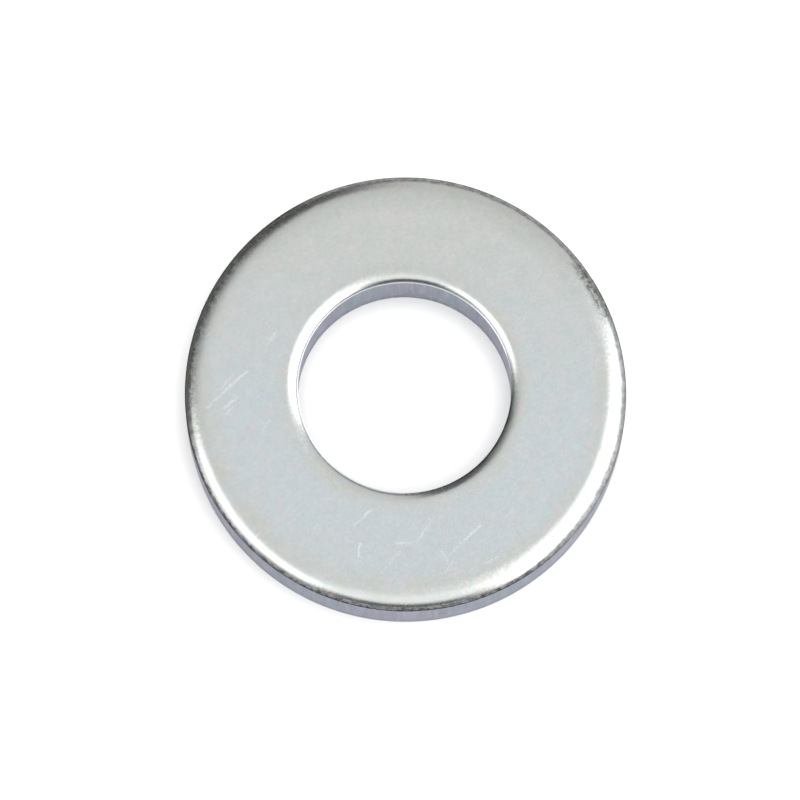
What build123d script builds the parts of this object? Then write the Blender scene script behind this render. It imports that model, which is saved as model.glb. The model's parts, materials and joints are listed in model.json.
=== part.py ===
from build123d import *
import os

# A thick flat washer for an M20 screw. One stroke of a compound die cuts the blank and
# its hole from steel plate, both from the same side. So the two upper edges are drawn
# down into a rounded die roll, the upper part of each wall is sheared smooth, and the
# lower part, where the plate tears, leans away from the metal that is left.
#
# Millimetres, +Z up. The origin is the centre of the outside circle, on the lower face.

# Driving dimensions, within the limits of a nominal 21 x 44 x 8 washer: the hole comes
# out over its nominal size and the outside under it.
outside_diameter = 43.6
hole_diameter = 21.1
thickness = 8.4

# The punch for the hole runs a little off the centre of the blank.
hole_centre_x = -0.1
hole_centre_y = 0.45

# Die roll: how far the upper edge is rounded, inwards from the wall and down from the face.
outside_roll_width = 2.2
outside_roll_depth = 1.2
hole_roll_width = 1.3
hole_roll_depth = 0.8

# Torn zone: its height above the lower face, and how far the wall leans over that height.
torn_height = 2.8
torn_lean = 0.1

# The sheared lower edges, dulled by tumbling in the plating barrel.
lower_edge_radius = 0.15

outside_radius = outside_diameter / 2
hole_radius = hole_diameter / 2
hole_axis = Axis((hole_centre_x, hole_centre_y, 0), (0, 0, 1))
hole_plane = Plane(origin=hole_axis.position, x_dir=(1, 0, 0), z_dir=(0, -1, 0))

os.makedirs("parts", exist_ok=True)

with BuildPart() as washer:
    # The blank: a solid disc, revolved about the origin's axis.
    with BuildSketch(Plane.XZ):
        with BuildLine():
            Polyline(
                (0, thickness),
                (0, 0),
                (outside_radius - torn_lean, 0),
                (outside_radius, torn_height),
                (outside_radius, thickness - outside_roll_depth),
            )
            EllipticalCenterArc(
                (outside_radius - outside_roll_width, thickness - outside_roll_depth),
                x_radius=outside_roll_width,
                y_radius=outside_roll_depth,
                start_angle=0,
                arc_size=90,
            )
            Line((outside_radius - outside_roll_width, thickness), (0, thickness))
        make_face()
    revolve(axis=Axis.Z)

    # The hole: the slug that the punch removes, revolved about the punch's own axis.
    with BuildSketch(hole_plane):
        with BuildLine():
            Polyline(
                (0, thickness),
                (0, 0),
                (hole_radius + torn_lean, 0),
                (hole_radius, torn_height),
                (hole_radius, thickness - hole_roll_depth),
            )
            EllipticalCenterArc(
                (hole_radius + hole_roll_width, thickness - hole_roll_depth),
                x_radius=hole_roll_width,
                y_radius=hole_roll_depth,
                start_angle=90,
                arc_size=90,
            )
            Line((hole_radius + hole_roll_width, thickness), (0, thickness))
        make_face()
    revolve(axis=hole_axis, mode=Mode.SUBTRACT)

    # Both lower edges lie in the lower face.
    lower_edges = washer.edges().filter_by(GeomType.CIRCLE).group_by(Axis.Z)[0]
    fillet(lower_edges, radius=lower_edge_radius)

washer.part.label = "washer"
export_step(washer.part, "parts/washer.step")
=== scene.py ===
import json
import math
import random
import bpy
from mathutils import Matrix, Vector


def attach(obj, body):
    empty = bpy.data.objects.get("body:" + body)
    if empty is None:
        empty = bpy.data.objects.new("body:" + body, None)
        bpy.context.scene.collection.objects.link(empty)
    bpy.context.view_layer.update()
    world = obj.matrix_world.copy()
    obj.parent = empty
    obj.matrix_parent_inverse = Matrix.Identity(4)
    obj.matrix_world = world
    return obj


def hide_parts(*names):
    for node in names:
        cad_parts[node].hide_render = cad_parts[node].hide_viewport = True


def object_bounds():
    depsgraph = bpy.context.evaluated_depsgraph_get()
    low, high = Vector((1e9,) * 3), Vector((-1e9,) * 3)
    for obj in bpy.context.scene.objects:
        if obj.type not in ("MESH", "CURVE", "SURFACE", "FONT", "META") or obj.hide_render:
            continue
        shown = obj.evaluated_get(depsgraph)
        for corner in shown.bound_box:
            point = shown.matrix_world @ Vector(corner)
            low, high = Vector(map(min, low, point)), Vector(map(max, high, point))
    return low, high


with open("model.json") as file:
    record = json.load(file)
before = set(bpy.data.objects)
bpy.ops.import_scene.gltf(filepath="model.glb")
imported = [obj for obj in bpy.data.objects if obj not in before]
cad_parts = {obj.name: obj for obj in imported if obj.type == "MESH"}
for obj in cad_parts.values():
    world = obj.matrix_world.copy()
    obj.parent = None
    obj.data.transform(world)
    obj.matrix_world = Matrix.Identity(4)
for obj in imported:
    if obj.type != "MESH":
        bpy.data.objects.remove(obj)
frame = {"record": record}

from types import SimpleNamespace

import bpy
import numpy as np
from mathutils import Quaternion, Vector, noise

MM = 0.001

# ---------------------------------------------------------------- sizes, from the frame

cad_low, cad_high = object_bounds()
THICKNESS = cad_high.z - cad_low.z
OUTSIDE_RADIUS = (cad_high.x - cad_low.x) / 2
HOLE = next(m for m in frame["record"]["mounts"] if m["name"] == "hole")
HOLE_RADIUS = HOLE["dims"]["r_mm"] * MM
HOLE_CENTRE = Vector((HOLE["pos_m"][0], HOLE["pos_m"][1], 0))

# The stamping's own features, as the CAD has them.
OUTSIDE_ROLL = (2.2 * MM, 1.2 * MM)     # width and depth of the die roll on the outside
HOLE_ROLL = (1.3 * MM, 0.8 * MM)        # and round the hole
TORN_HEIGHT = 2.8 * MM                  # the torn zone above the lower face
TORN_LEAN = 0.1 * MM                    # how far the torn wall leans over
LOWER_EDGE = 0.15 * MM                  # radius of the tumbled lower edges

# ---------------------------------------------------------------- the washer's mesh

# Rows across each part of one wall's profile and of each face, and steps round the ring:
# 192 rows by 512 steps keep the mesh under the 200,000 triangles that the export leaves whole.
EDGE_ROWS, TORN_ROWS, LAND_ROWS, ROLL_ROWS = 6, 30, 16, 25
UPPER_ROWS, LOWER_ROWS = 27, 21
STEPS_ROUND = 512

DENTS = 120
DENT_SEED = 4


def wall_profile(radius, roll, sign):
    """(radius, height) from the lower face up one wall and over its die roll.

    sign is +1 for the outside wall, whose metal lies inwards, and -1 for the hole's.
    """
    width, depth = roll
    foot = radius - sign * TORN_LEAN
    points = []
    for a in np.linspace(-90, 0, EDGE_ROWS):
        turn = math.radians(a)
        points.append((foot - sign * LOWER_EDGE * (1 - math.cos(turn)),
                       LOWER_EDGE * (1 + math.sin(turn))))
    for share in np.linspace(0, 1, TORN_ROWS)[1:]:
        height = LOWER_EDGE + (TORN_HEIGHT - LOWER_EDGE) * share
        points.append((foot + sign * TORN_LEAN * share, height))
    land_top = THICKNESS - depth
    for height in np.linspace(TORN_HEIGHT, land_top, LAND_ROWS)[1:]:
        points.append((radius, height))
    for a in np.linspace(0, 90, ROLL_ROWS)[1:]:
        turn = math.radians(a)
        points.append((radius - sign * width * (1 - math.cos(turn)),
                       land_top + depth * math.sin(turn)))
    return points


def ring_profile():
    """The closed profile as arrays: radius, height, and how far the ring's centre is
    from the origin (0) towards the hole's centre (1)."""
    outside = wall_profile(OUTSIDE_RADIUS, OUTSIDE_ROLL, 1)
    hole = wall_profile(HOLE_RADIUS, HOLE_ROLL, -1)[::-1]
    upper = []
    for share in np.linspace(0, 1, UPPER_ROWS)[1:-1]:
        upper.append((outside[-1][0] * (1 - share) + hole[0][0] * share, THICKNESS, share))
    lower = []
    for share in np.linspace(0, 1, LOWER_ROWS)[1:-1]:
        lower.append((hole[-1][0] * (1 - share) + outside[0][0] * share, 0.0, 1 - share))
    rows = [(r, z, 0.0) for r, z in outside] + upper
    rows += [(r, z, 1.0) for r, z in hole] + lower
    return np.array(rows).T


def fractal(point, octaves=4):
    """Repeatable fractal noise from about -1 to 1."""
    return noise.fractal(point, 0.8, 2.1, octaves)


def smoothstep(value, low, high):
    """0 below low, 1 above high, and an S-curve between."""
    share = np.clip((value - low) / (high - low), 0, 1)
    return share * share * (3 - 2 * share)


def torn_depth(points):
    """How far the torn zone is broken away below the smooth wall: nothing on the land."""
    least, more = 0.012, 0.055      # millimetres
    depth = np.zeros(len(points))
    for i, p in enumerate(points):
        if p[2] > TORN_HEIGHT * 1.25:
            continue
        place = Vector(p) / MM
        line = TORN_HEIGHT * (1 + 0.16 * noise.noise(place * Vector((0.35, 0.35, 0))))
        torn = smoothstep(line - p[2], 0.0, 0.35 * MM)
        foot = smoothstep(p[2], 0.05 * MM, 0.5 * MM)
        grain = 0.5 + 0.5 * fractal(place * Vector((1.1, 1.1, 0.55)) + Vector((7, 0, 0)))
        depth[i] = torn * foot * (least + more * grain) * MM
    return depth


def dents(points, count, seed):
    """Shallow marks from tumbling in the barrel, on faces and rolled edges."""
    draw = random.Random(seed)
    depth = np.zeros(len(points))
    for _ in range(count):
        turn = draw.uniform(0, 2 * math.pi)
        reach = draw.uniform(HOLE_RADIUS + 0.5 * HOLE_ROLL[0], OUTSIDE_RADIUS - 0.3 * MM)
        height = draw.choice((0.0, THICKNESS, THICKNESS))
        centre = np.array((reach * math.cos(turn), reach * math.sin(turn), height))
        size = draw.uniform(0.25, 0.6) * MM
        deep = draw.uniform(0.004, 0.014) * MM
        gap = np.linalg.norm((points - centre) * (1, 1, 0.35), axis=1)
        depth = np.maximum(depth, deep * (1 - smoothstep(gap, 0, size)))
    return depth


def build_washer():
    """The stamped ring as one closed mesh of quads."""
    radius, height, towards_hole = ring_profile()
    rows = len(radius)
    turns = np.arange(STEPS_ROUND) * (2 * math.pi / STEPS_ROUND)
    cos, sin = np.cos(turns)[:, None], np.sin(turns)[:, None]
    centre = np.array(HOLE_CENTRE)
    points = np.stack([
        centre[0] * towards_hole + radius * cos,
        centre[1] * towards_hole + radius * sin,
        np.broadcast_to(height, (STEPS_ROUND, rows)),
    ], axis=-1)

    # Outward normals of the profile, so that the relief goes into the metal.
    along = np.roll(points, -1, axis=1) - np.roll(points, 1, axis=1)
    around = np.roll(points, -1, axis=0) - np.roll(points, 1, axis=0)
    normal = np.cross(around, along)
    normal /= np.linalg.norm(normal, axis=-1, keepdims=True)
    flat = points.reshape(-1, 3)
    on_wall = (np.abs(normal[..., 2]) < 0.6).reshape(-1)
    relief = np.where(on_wall, torn_depth(flat), 0) + dents(flat, DENTS, seed=DENT_SEED)
    points = (flat - normal.reshape(-1, 3) * relief[:, None]).reshape(points.shape)

    index = np.arange(STEPS_ROUND * rows).reshape(STEPS_ROUND, rows)
    next_turn, next_row = np.roll(index, -1, axis=0), np.roll(index, -1, axis=1)
    both = np.roll(next_turn, -1, axis=1)
    quads = np.stack([index, next_turn, both, next_row], axis=-1).reshape(-1, 4)

    mesh = bpy.data.meshes.new("stamped_washer")
    mesh.from_pydata(points.reshape(-1, 3).tolist(), [], quads.tolist())
    mesh.polygons.foreach_set("use_smooth", [True] * len(mesh.polygons))
    mesh.update()
    piece = bpy.data.objects.new("stamped_washer", mesh)
    bpy.context.scene.collection.objects.link(piece)
    return piece


# ---------------------------------------------------------------- shader helpers

def add_node(tree, kind, inputs=(), **settings):
    """A shader node with its sockets filled in order from inputs: a socket is linked, a
    plain value is set, and None leaves the socket as it is."""
    made = tree.nodes.new("ShaderNode" + kind)
    for name, value in settings.items():
        setattr(made, name, value)
    for socket, value in zip(made.inputs, inputs):
        if isinstance(value, bpy.types.NodeSocket):
            tree.links.new(value, socket)
        elif value is not None:
            socket.default_value = value
    return made


def math_node(tree, operation, *values):
    return add_node(tree, "Math", values, operation=operation).outputs[0]


def product(tree, *factors):
    result = factors[0]
    for factor in factors[1:]:
        result = math_node(tree, "MULTIPLY", result, factor)
    return result


def scaled(tree, value, times, plus):
    return math_node(tree, "MULTIPLY_ADD", value, times, plus)


def vector_math(tree, operation, *values):
    made = add_node(tree, "VectorMath", values, operation=operation)
    scalar = operation in ("LENGTH", "DOT_PRODUCT", "DISTANCE")
    return made.outputs["Value" if scalar else "Vector"]


def facing_to(tree, vector, direction):
    """How much a vector runs along a direction: the cosine between two unit ones."""
    return vector_math(tree, "DOT_PRODUCT", vector, direction)


def ramp_between(tree, value, low, high):
    """0 at low, 1 at high, smooth between."""
    made = add_node(tree, "MapRange", (value, low, high, 0.0, 1.0),
                    interpolation_type="SMOOTHSTEP")
    return made.outputs["Result"]


def window(tree, value, low, high, soft):
    """1 from low to high, falling to 0 over soft on each side."""
    rise = ramp_between(tree, value, low - soft / 2, low + soft / 2)
    fall = ramp_between(tree, value, high + soft / 2, high - soft / 2)
    return math_node(tree, "MULTIPLY", rise, fall)


def mix_colour(tree, factor, first, second, blend_type="MIX"):
    made = tree.nodes.new("ShaderNodeMix")
    made.data_type = "RGBA"
    made.blend_type = blend_type
    for name, value in (("Factor_Float", factor), ("A_Color", first), ("B_Color", second)):
        socket = next(s for s in made.inputs if s.identifier == name)
        if isinstance(value, bpy.types.NodeSocket):
            tree.links.new(value, socket)
        else:
            socket.default_value = value if name == "Factor_Float" else (*value, 1.0)
    return next(s for s in made.outputs if s.identifier == "Result_Color")


def mix_value(tree, factor, first, second):
    made = add_node(tree, "Mix", (factor,), data_type="FLOAT")
    tree.links.new(first, made.inputs["A"])
    tree.links.new(second, made.inputs["B"])
    return made.outputs["Result"]


def noise_at(tree, vector, scale, detail=2.0, roughness=0.5):
    made = add_node(tree, "TexNoise", noise_dimensions="3D")
    tree.links.new(vector, made.inputs["Vector"])
    made.inputs["Scale"].default_value = scale
    made.inputs["Detail"].default_value = detail
    made.inputs["Roughness"].default_value = roughness
    return made.outputs["Fac"]


def in_millimetres(tree):
    """The object's own coordinates, in millimetres, so that every scale below reads as
    features per millimetre."""
    where = tree.nodes.new("ShaderNodeTexCoord").outputs["Object"]
    return vector_math(tree, "SCALE", where, None, None, 1 / MM)


# ---------------------------------------------------------------- zinc-plated steel

# Light scratches on the upper face: from one end to the other in millimetres, and how bright.
SCRATCHES = (
    ((-19.5, -2.3), (-15.7, 1.5), 0.8),
    ((-18.3, -0.5), (-17.2, 1.0), 0.4),
    ((-17.8, -2.3), (-16.6, -1.2), 0.75),
    ((-17.6, -2.9), (-16.9, -2.1), 0.5),
    ((-13.6, 4.7), (-13.0, 5.4), 0.7),
    ((-14.0, -4.5), (-13.3, -3.4), 0.5),
    ((-4.6, -13.6), (-3.0, -12.0), 0.9),
    ((-4.0, -15.4), (-4.1, -16.6), 1.0),
    ((-0.5, -15.3), (1.1, -15.1), 0.6),
    ((1.7, -14.9), (2.4, -13.7), 0.6),
    ((2.1, -14.5), (3.2, -12.4), 0.35),
    ((-1.5, -17.9), (-0.1, -16.1), 0.35),
    ((6.1, -14.9), (7.8, -13.3), 0.9),
    ((4.7, -16.4), (6.1, -14.9), 0.45),
    ((4.0, -15.9), (4.6, -16.9), 0.5),
    ((4.5, -18.0), (5.2, -16.9), 0.4),
    ((8.5, -17.0), (9.6, -16.3), 0.5),
)
SCRATCH_WIDTH = 0.2
HAIRLINE_TURN = math.radians(-48)       # from the hairlines' run to +X

# Colours of the finish.
BLUE, STRAW, WARM = (0.660, 0.713, 0.735), (0.667, 0.682, 0.643), (0.71, 0.71, 0.68)
MOTTLE = (0.982, 1.003, 1.0), (1.014, 0.994, 1.006)
SCRATCHED = (0.93, 0.94, 0.95)
SHEARED = (0.36, 0.37, 0.405), (0.465, 0.475, 0.51)
SHEARED_TINTS = (0.97, 1.005, 1.015), (1.03, 0.985, 1.01)
SHEARED_BLUER = (0.945, 1.02, 1.01)
# Painted shade: dark reflections painted on the rolls' feet, speckled, darkest round the back
# left.
PAINTED_FOOT_SHADE = (0.035, 0.035, 0.038), (0.20, 0.20, 0.21)
PAINTED_SHADE_DARKEST = (0.045, 0.045, 0.04)
# Burnished metal on the hole's roll, brightened partly as a painted highlight.
BURNISH_AND_HIGHLIGHT = (0.92, 0.93, 0.95)
# Painted shade: the dark patches on the outside roll.
PAINTED_PATCH_SHADE = (0.12, 0.12, 0.11)
TORN = (0.37, 0.38, 0.42)

# What the metal reflects at a grazing angle: dimmed for the painted shade on the rolls' feet,
# and raised on the hole's roll for a painted highlight.
PLAIN_EDGE = (0.45, 0.45, 0.50)
PAINTED_SHADE_EDGE = (0.06, 0.06, 0.065)
BURNISH_AND_HIGHLIGHT_EDGE = (0.95, 0.95, 0.97)

# Level directions.
BACK_LEFT = (-0.91, 0.42, 0)            # where the outside roll's painted shade is darkest
HOLE_BACK_LEFT = (-0.77, 0.64, 0)       # where the hole's roll is painted dark
SHADE_PATCH_DIRECTION = (0.86, 0.51, 0)             # the outside roll's short painted dark patch
LEVEL = (1, 1, 0)                       # takes the height out of a vector

RING_MIDDLE = 16.0      # radius in millimetres that parts the hole's side from the outside's


def survey(tree):
    """What the finish goes by at each point: distances in millimetres, and shares of 1."""
    place = in_millimetres(tree)
    sides = add_node(tree, "SeparateXYZ", (place,)).outputs
    level = vector_math(tree, "MULTIPLY", place, LEVEL)
    radius = vector_math(tree, "LENGTH", level)
    hole_radius = vector_math(tree, "DISTANCE", level, tuple(HOLE_CENTRE / MM))
    facing = tree.nodes.new("ShaderNodeNewGeometry").outputs["Normal"]
    rise = add_node(tree, "SeparateXYZ", (facing,)).outputs["Z"]
    upright = math_node(tree, "ABSOLUTE", rise)
    aside = vector_math(tree, "NORMALIZE", vector_math(tree, "MULTIPLY", facing, LEVEL))
    near_outside_roll = ramp_between(tree, radius,
                                     (OUTSIDE_RADIUS - 1.9 * OUTSIDE_ROLL[0]) / MM,
                                     (OUTSIDE_RADIUS - 0.9 * OUTSIDE_ROLL[0]) / MM)
    near_hole_roll = ramp_between(tree, hole_radius,
                                  (HOLE_RADIUS + 2.2 * HOLE_ROLL[0]) / MM,
                                  (HOLE_RADIUS + 0.8 * HOLE_ROLL[0]) / MM)
    back_left = product(tree,
                        ramp_between(tree, facing_to(tree, facing, BACK_LEFT), 0.15, 0.62),
                        ramp_between(tree, facing_to(tree, aside, BACK_LEFT), 0.64, 0.87))
    return SimpleNamespace(
        place=place, sides=sides, level=level, radius=radius, height=sides["Z"],
        upright=upright, aside=aside, back_left=back_left,
        on_wall=ramp_between(tree, upright, 0.35, 0.1),
        outside=ramp_between(tree, radius, RING_MIDDLE - 0.1, RING_MIDDLE + 0.1),
        near_roll=math_node(tree, "MAXIMUM", near_outside_roll, near_hole_roll))


def scratch(tree, place, start, end):
    """1 along a straight scratch from start to end, in millimetres on the upper face."""
    run = Vector((end[0] - start[0], end[1] - start[1], 0))
    offset = vector_math(tree, "SUBTRACT", place, (start[0], start[1], THICKNESS / MM))
    share = math_node(tree, "DIVIDE", vector_math(tree, "DOT_PRODUCT", offset, run),
                      run.length_squared)
    held = add_node(tree, "Clamp", (share, 0.0, 1.0)).outputs[0]
    nearest = vector_math(tree, "SCALE", run, None, None, held)
    gap = vector_math(tree, "DISTANCE", offset, nearest)
    return ramp_between(tree, gap, SCRATCH_WIDTH, 0.0)


def face_marks(tree, at):
    """The scratches, ragged and broken up along their length, and fainter hairlines."""
    sway = scaled(tree, noise_at(tree, at.place, 2.2, 2.0, 0.6), 0.3, -0.15)
    aside = add_node(tree, "CombineXYZ", (sway, product(tree, sway, -1.0)))
    ragged = vector_math(tree, "ADD", at.place, aside.outputs[0])
    marks = 0.0
    for start, end, bright in SCRATCHES:
        line = product(tree, scratch(tree, ragged, start, end), bright)
        marks = math_node(tree, "MAXIMUM", marks, line)
    broken = ramp_between(tree, noise_at(tree, at.place, 1.6, 3.0, 0.6), 0.32, 0.6)
    marks = product(tree, marks, scaled(tree, broken, 0.65, 0.35))

    turned = add_node(tree, "VectorRotate", (at.place,), rotation_type="Z_AXIS")
    turned.inputs["Angle"].default_value = HAIRLINE_TURN
    drawn_out = vector_math(tree, "MULTIPLY", turned.outputs[0], (0.28, 4.5, 0.5))
    fine = ramp_between(tree, noise_at(tree, drawn_out, 1.0, 2.0, 0.5), 0.66, 0.76)
    patches = ramp_between(tree, noise_at(tree, at.place, 0.3, 2.0, 0.5), 0.5, 0.62)
    return math_node(tree, "MAXIMUM", marks, product(tree, fine, patches, 0.35))


def face_colour(tree, at):
    """Clear blue passivation, straw towards +Y and the rolled edges, in mottled patches."""
    across = at.sides["Y"]
    drift = scaled(tree, noise_at(tree, at.place, 0.14, 3.0, 0.55), 14.0, -7.0)
    towards_back = ramp_between(tree, math_node(tree, "ADD", across, drift), -4.0, 20.0)
    patchy = ramp_between(tree, noise_at(tree, at.place, 0.35, 3.0, 0.6), 0.35, 0.65)
    straw = math_node(tree, "MAXIMUM", product(tree, towards_back, 0.85),
                      product(tree, at.near_roll, scaled(tree, patchy, 0.6, 0.4)))
    base = mix_colour(tree, straw, BLUE, STRAW)

    mottle = ramp_between(tree, noise_at(tree, at.place, 0.6, 3.0, 0.55), 0.38, 0.62)
    base = mix_colour(tree, 1.0, base, mix_colour(tree, mottle, *MOTTLE), blend_type="MULTIPLY")
    warm = ramp_between(tree, noise_at(tree, at.place, 0.6, 3.0, 0.6), 0.5, 0.64)
    base = mix_colour(tree, product(tree, warm, 0.3), base, WARM)
    grain = scaled(tree, noise_at(tree, at.place, 4.0, 2.0, 0.6), 0.12, 0.94)
    cloud = scaled(tree, noise_at(tree, at.place, 1.0, 2.0, 0.5), 0.08, 0.96)
    shade = product(tree, at.near_roll, ramp_between(tree, across, 6.0, 18.0))
    light = product(tree, grain, cloud, scaled(tree, shade, -0.08, 1.0))
    return vector_math(tree, "SCALE", base, None, None, light)


def wall_colour(tree, at, streaks):
    """The sheared walls: streaked down the drag lines, lilac and blue-grey in patches, and
    bluer on both sides of +Y and -Y."""
    base = mix_colour(tree, ramp_between(tree, streaks, 0.3, 0.7), *SHEARED)
    hue = ramp_between(tree, noise_at(tree, at.place, 0.22, 3.0, 0.55), 0.36, 0.64)
    tint = mix_colour(tree, hue, *SHEARED_TINTS)
    sideways = math_node(tree, "ABSOLUTE", facing_to(tree, at.aside, (1, 0, 0)))
    tint = mix_colour(tree, window(tree, sideways, 0.25, 0.6, 0.2), tint, SHEARED_BLUER)
    base = mix_colour(tree, 1.0, base, tint, blend_type="MULTIPLY")
    # Painted shade and light: the outside wall a little darker, the hole's a little lighter.
    return vector_math(tree, "SCALE", base, None, None, scaled(tree, at.outside, -0.09, 1.06))


def painted_foot_shade(tree, at):
    """1 where dark reflections are painted on the foot of a roll: a line round the outside,
    taller but fainter along +X and +Y, and a broader band on both rolls where they face back
    left."""
    uneven = scaled(tree, noise_at(tree, at.place, 1.3, 3.0, 0.6), 0.3, -0.15)
    height = math_node(tree, "ADD", at.height, uneven)
    sides = add_node(tree, "SeparateXYZ", (at.aside,)).outputs
    taller = math_node(tree, "MAXIMUM", ramp_between(tree, sides["Y"], 0.0, 0.5),
                       ramp_between(tree, sides["X"], 0.5, 0.85))
    land_top, depth = (THICKNESS - OUTSIDE_ROLL[1]) / MM, OUTSIDE_ROLL[1] / MM
    lowered = scaled(tree, taller, -0.2 * depth, height)
    line = window(tree, lowered, land_top - 0.05 - 0.2 * depth, land_top + 0.45 * depth, 0.2)
    line = product(tree, line, scaled(tree, taller, -0.25, 1.0))

    hole_back_left = ramp_between(tree, facing_to(tree, at.aside, HOLE_BACK_LEFT), 0.5, 0.9)
    bands = []
    for roll, side in ((HOLE_ROLL, hole_back_left), (OUTSIDE_ROLL, at.back_left)):
        land_top, depth = (THICKNESS - roll[1]) / MM, roll[1] / MM
        band = window(tree, height, land_top - 0.4, land_top + 0.62 * depth, 0.35)
        bands.append(product(tree, band, side))
    hole_band, outside_band = bands
    return mix_value(tree, at.outside, hole_band,
                     math_node(tree, "MAXIMUM", line, outside_band))


def hole_burnish_and_highlight(tree, at):
    """1 on the hole's roll along the sides without painted shade: burnished metal, made
    brighter partly as a painted highlight.
    """
    land_top = (THICKNESS - HOLE_ROLL[1]) / MM
    along = math_node(tree, "ABSOLUTE", facing_to(tree, at.aside, (0, 1, 0)))
    return product(tree,
                   math_node(tree, "SUBTRACT", 1.0, at.outside),
                   ramp_between(tree, at.height, land_top - 0.1, land_top + 0.1),
                   ramp_between(tree, at.upright, 0.9, 0.7),
                   ramp_between(tree, along, 0.95, 0.6),
                   ramp_between(tree, at.back_left, 0.4, 0.0))


def roll_painted_patches(tree, at, speckle):
    """1 where shade is painted dark on the outside roll, speckled: round the back left, and in
    one short patch.
    """
    near_patch = ramp_between(tree, facing_to(tree, at.aside, SHADE_PATCH_DIRECTION), 0.982, 0.998)
    patch = product(tree, ramp_between(tree, at.upright, 0.98, 0.92), near_patch)
    return product(tree,
                   math_node(tree, "MAXIMUM", at.back_left, patch),
                   scaled(tree, speckle, -0.7, 1.0),
                   ramp_between(tree, at.upright, 0.1, 0.35),
                   at.outside)


def torn_zone(tree, at):
    """1 on the torn zone near the lower face, up to a ragged line."""
    ragged = scaled(tree, noise_at(tree, at.level, 0.35, 2.0), 0.9, -0.45)
    line = math_node(tree, "ADD", at.height, ragged)
    top = TORN_HEIGHT / MM
    return product(tree, at.on_wall, ramp_between(tree, line, top + 0.15, top - 0.15))


def relief(tree, at, marks, streaks, torn, grain):
    """Millimetres of orange peel, drawing lines by the rolls, drag lines and tearing."""
    peel = product(tree, noise_at(tree, at.place, 3.0, 3.0, 0.6), 0.011)
    rings = add_node(tree, "CombineXYZ", (product(tree, at.radius, 4.0),
                                          product(tree, at.sides["Y"], 0.2),
                                          product(tree, at.sides["X"], 0.2)))
    drawn = product(tree, at.near_roll, noise_at(tree, rings.outputs[0], 1.0, 3.0, 0.6))
    height = scaled(tree, drawn, 0.003, peel)
    for part in (product(tree, streaks, at.on_wall, 0.03),
                 product(tree, grain, torn, 0.12),
                 product(tree, marks, -0.003)):
        height = math_node(tree, "ADD", height, part)
    return height


def zinc_plate():
    material = bpy.data.materials.new("zinc_plated_steel")
    material.use_nodes = True
    tree = material.node_tree
    shader = tree.nodes["Principled BSDF"]
    shader.inputs["Metallic"].default_value = 1.0

    at = survey(tree)
    marks = face_marks(tree, at)
    drag = vector_math(tree, "MULTIPLY", at.place, (3.2, 3.2, 0.12))
    streaks = noise_at(tree, drag, 1.0, 4.0, 0.65)
    speckle = ramp_between(tree, noise_at(tree, at.place, 2.0, 4.0, 0.7), 0.4, 0.6)
    # Painted shade: the dark reflections on the rolls' feet.
    foot = painted_foot_shade(tree, at)
    # Burnished metal on the hole's roll, partly a painted highlight.
    burnish_and_highlight = hole_burnish_and_highlight(tree, at)
    # Painted shade: dark patches on the outside roll, round the back left and in one short
    # patch.
    painted_patches = roll_painted_patches(tree, at, speckle)
    torn = torn_zone(tree, at)
    squashed = vector_math(tree, "MULTIPLY", at.place, (1.6, 1.6, 0.8))
    grain = noise_at(tree, squashed, 1.5, 5.0, 0.7)

    # The painted shade's colour: speckled, darkest round the back left.
    dark = mix_colour(tree, at.back_left, mix_colour(tree, speckle, *PAINTED_FOOT_SHADE), PAINTED_SHADE_DARKEST)
    torn_grain = product(tree, torn, ramp_between(tree, grain, 0.35, 0.65))
    base = face_colour(tree, at)
    base = mix_colour(tree, product(tree, marks, 0.42), base, SCRATCHED)
    base = mix_colour(tree, at.on_wall, base, wall_colour(tree, at, streaks))
    base = mix_colour(tree, product(tree, foot, 0.92), base, dark)
    base = mix_colour(tree, burnish_and_highlight, base, BURNISH_AND_HIGHLIGHT)
    base = mix_colour(tree, product(tree, painted_patches, 0.85), base, PAINTED_PATCH_SHADE)
    base = mix_colour(tree, torn_grain, base, TORN)
    tree.links.new(base, shader.inputs["Base Color"])

    # Painted reflection: grazing reflections dimmed on the painted foot shade, raised on the
    # hole's burnished roll.
    edge = mix_colour(tree, foot, PLAIN_EDGE, PAINTED_SHADE_EDGE)
    edge = mix_colour(tree, burnish_and_highlight, edge, BURNISH_AND_HIGHLIGHT_EDGE)
    tree.links.new(edge, shader.inputs["Specular Tint"])

    # Satin face, rougher walls and scratches, roughest where torn.
    satin = scaled(tree, noise_at(tree, at.place, 4.0, 3.0, 0.6), 0.16, 0.14)
    satin = scaled(tree, marks, 0.2, satin)
    rough = mix_value(tree, at.on_wall, satin, scaled(tree, streaks, 0.2, 0.28))
    rough = scaled(tree, torn, 0.15, scaled(tree, foot, 0.15, rough))
    tree.links.new(rough, shader.inputs["Roughness"])

    bump = tree.nodes.new("ShaderNodeBump")
    bump.inputs["Strength"].default_value = 1.0
    bump.inputs["Distance"].default_value = MM
    tree.links.new(relief(tree, at, marks, streaks, torn, grain), bump.inputs["Height"])
    tree.links.new(bump.outputs["Normal"], shader.inputs["Normal"])
    return material


# ---------------------------------------------------------------- floor, light, camera

FLOOR_REACH = 4.0       # metres from the middle to each side
FLOOR_GREY, FAR_FLOOR_PAINTED_LIGHT = 0.60, 0.95


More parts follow.
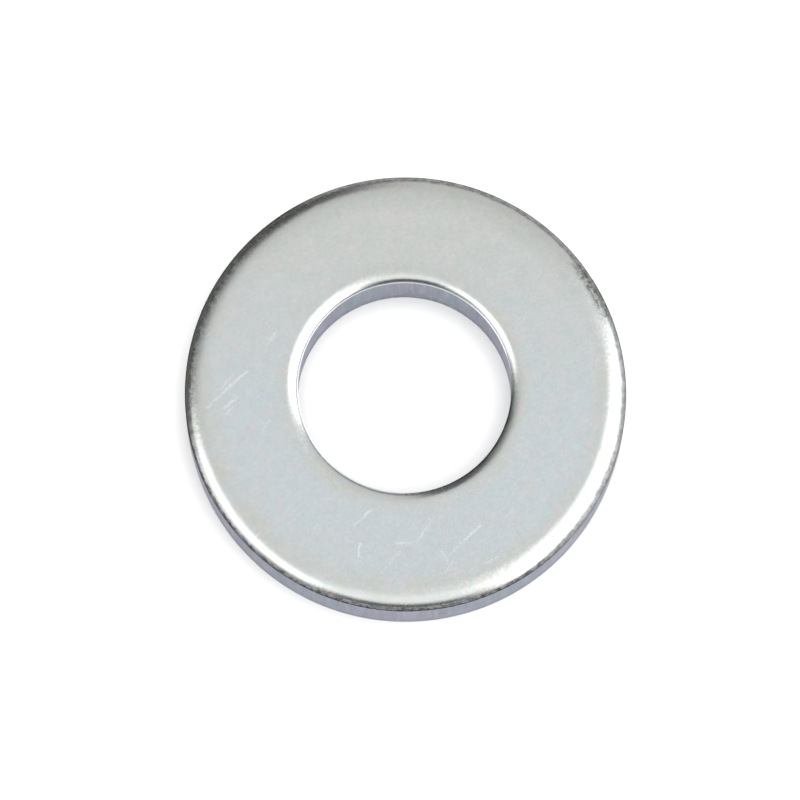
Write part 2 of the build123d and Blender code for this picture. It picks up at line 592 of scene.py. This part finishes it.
def build_floor():
    """A plain floor with painted light: paler far away, where the overhead light falls off, so
    that it meets the white backdrop without a line.
    """
    reach = FLOOR_REACH
    mesh = bpy.data.meshes.new("floor")
    corners = [(-reach, -reach, 0), (reach, -reach, 0), (reach, reach, 0), (-reach, reach, 0)]
    mesh.from_pydata(corners, [], [(0, 1, 2, 3)])
    floor = bpy.data.objects.new("floor", mesh)
    bpy.context.scene.collection.objects.link(floor)
    material = bpy.data.materials.new("pale_floor")
    material.use_nodes = True
    tree = material.node_tree
    shader = tree.nodes["Principled BSDF"]
    away = vector_math(tree, "LENGTH", tree.nodes.new("ShaderNodeTexCoord").outputs["Object"])
    # Painted light: paler far away, where the overhead light falls off.
    far_painted_light = ramp_between(tree, away, 0.5, 3.5)
    grey = mix_colour(tree, far_painted_light, (FLOOR_GREY,) * 3, (FAR_FLOOR_PAINTED_LIGHT,) * 3)
    tree.links.new(grey, shader.inputs["Base Color"])
    shader.inputs["Roughness"].default_value = 1.0
    shader.inputs["Specular IOR Level"].default_value = 0.0
    mesh.materials.append(material)


# Soft lights and dark flags round the washer. Each is (compass direction in degrees from
# +X towards +Y and half its width, with its softness; lowest and highest elevation, with
# its softness; brightness).
STUDIO = (
    ("white_right", (-2, 33, 14), (2, 76, 24), 2.4),
    ("white_front_right", (-40, 16, 14), (10, 66, 24), 2.4),
    ("pale_front", (-88, 30, 16), (40, 74, 14), 1.15),
    ("pale_left", (-160, 22, 16), (-10, 27, 16), 1.0),
    ("white_left_front", (-150, 32, 14), (25, 57, 12), 2.0),
    ("dark_front", (-90, 24, 14), (-30, 34, 12), 0.12),
    ("dark_left", (142, 26, 26), (-60, 48, 60), 0.26),
    ("dark_back_left", (113, 15, 12), (-30, 46, 14), 0.14),
)


# How bright the rest of the studio is: near the floor, all round, and overhead.
LOW_LIGHT, ALL_ROUND, CEILING = 0.3, 0.78, 0.86


def build_studio():
    world = bpy.data.worlds.new("studio")
    world.use_nodes = True
    bpy.context.scene.world = world
    tree = world.node_tree
    ray = tree.nodes.new("ShaderNodeTexCoord").outputs["Generated"]
    parts = add_node(tree, "SeparateXYZ", (ray,))
    rise = math_node(tree, "ARCSINE", parts.outputs["Z"])
    elevation = math_node(tree, "MULTIPLY", rise, 180 / math.pi)
    level = vector_math(tree, "NORMALIZE", vector_math(tree, "MULTIPLY", ray, (1, 1, 0)))

    above_floor = ramp_between(tree, elevation, -5, 28)
    light = mix_colour(tree, above_floor, (LOW_LIGHT,) * 3, (ALL_ROUND,) * 3)
    light = mix_colour(tree, ramp_between(tree, elevation, 40, 78), light, (CEILING,) * 3)
    for _, (compass, half_width, side_soft), (low, high, soft), brightness in STUDIO:
        centre = (math.cos(math.radians(compass)), math.sin(math.radians(compass)), 0)
        apart = math_node(tree, "ARCCOSINE", facing_to(tree, level, centre))
        degrees = math_node(tree, "MULTIPLY", apart, 180 / math.pi)
        across = ramp_between(tree, degrees, half_width + side_soft / 2,
                              half_width - side_soft / 2)
        up = window(tree, elevation, low, high, soft)
        mask = math_node(tree, "MULTIPLY", across, up)
        light = mix_colour(tree, mask, light, (brightness,) * 3)

    seen = tree.nodes.new("ShaderNodeLightPath").outputs["Is Camera Ray"]
    colour = mix_colour(tree, seen, light, (1.0, 1.0, 1.0))
    background = tree.nodes["Background"]
    tree.links.new(colour, background.inputs["Color"])


def build_overhead_light():
    """A large soft light over the floor, kept out of the metal's own reflections."""
    light = bpy.data.lights.new("overhead", "AREA")
    light.shape = "DISK"
    light.size = 2.0
    light.energy = 88
    lamp = bpy.data.objects.new("overhead", light)
    lamp.location = (0, 0, 2.4)
    lamp.visible_glossy = False
    bpy.context.scene.collection.objects.link(lamp)


def build_camera():
    """A long lens, 79 degrees above the horizon, looking along +Y."""
    elevation = math.radians(79.2)
    distance = 0.892
    right_of_middle, above_middle = 0.53 * MM, 0.10 * MM
    roll = math.radians(1.8)
    data = bpy.data.cameras.new("camera")
    data.sensor_width = 36
    data.lens = 405
    data.clip_start, data.clip_end = 0.01, 20
    camera = bpy.data.objects.new("camera", data)
    back = Vector((0, -math.cos(elevation), math.sin(elevation)))
    turn = (-back).to_track_quat("-Z", "Y") @ Quaternion((0, 0, 1), roll)
    aim = Vector((0, 0, THICKNESS / 2))
    aim -= turn @ Vector((right_of_middle, above_middle, 0))
    camera.rotation_mode = "QUATERNION"
    camera.rotation_quaternion = turn
    camera.location = aim + back * distance
    bpy.context.scene.collection.objects.link(camera)
    bpy.context.scene.camera = camera


# ---------------------------------------------------------------- the scene

build_camera()
build_studio()
build_overhead_light()
build_floor()

washer = build_washer()
washer.data.materials.append(zinc_plate())
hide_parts("washer")
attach(washer, "root")

bpy.context.scene.view_settings.view_transform = "Standard"
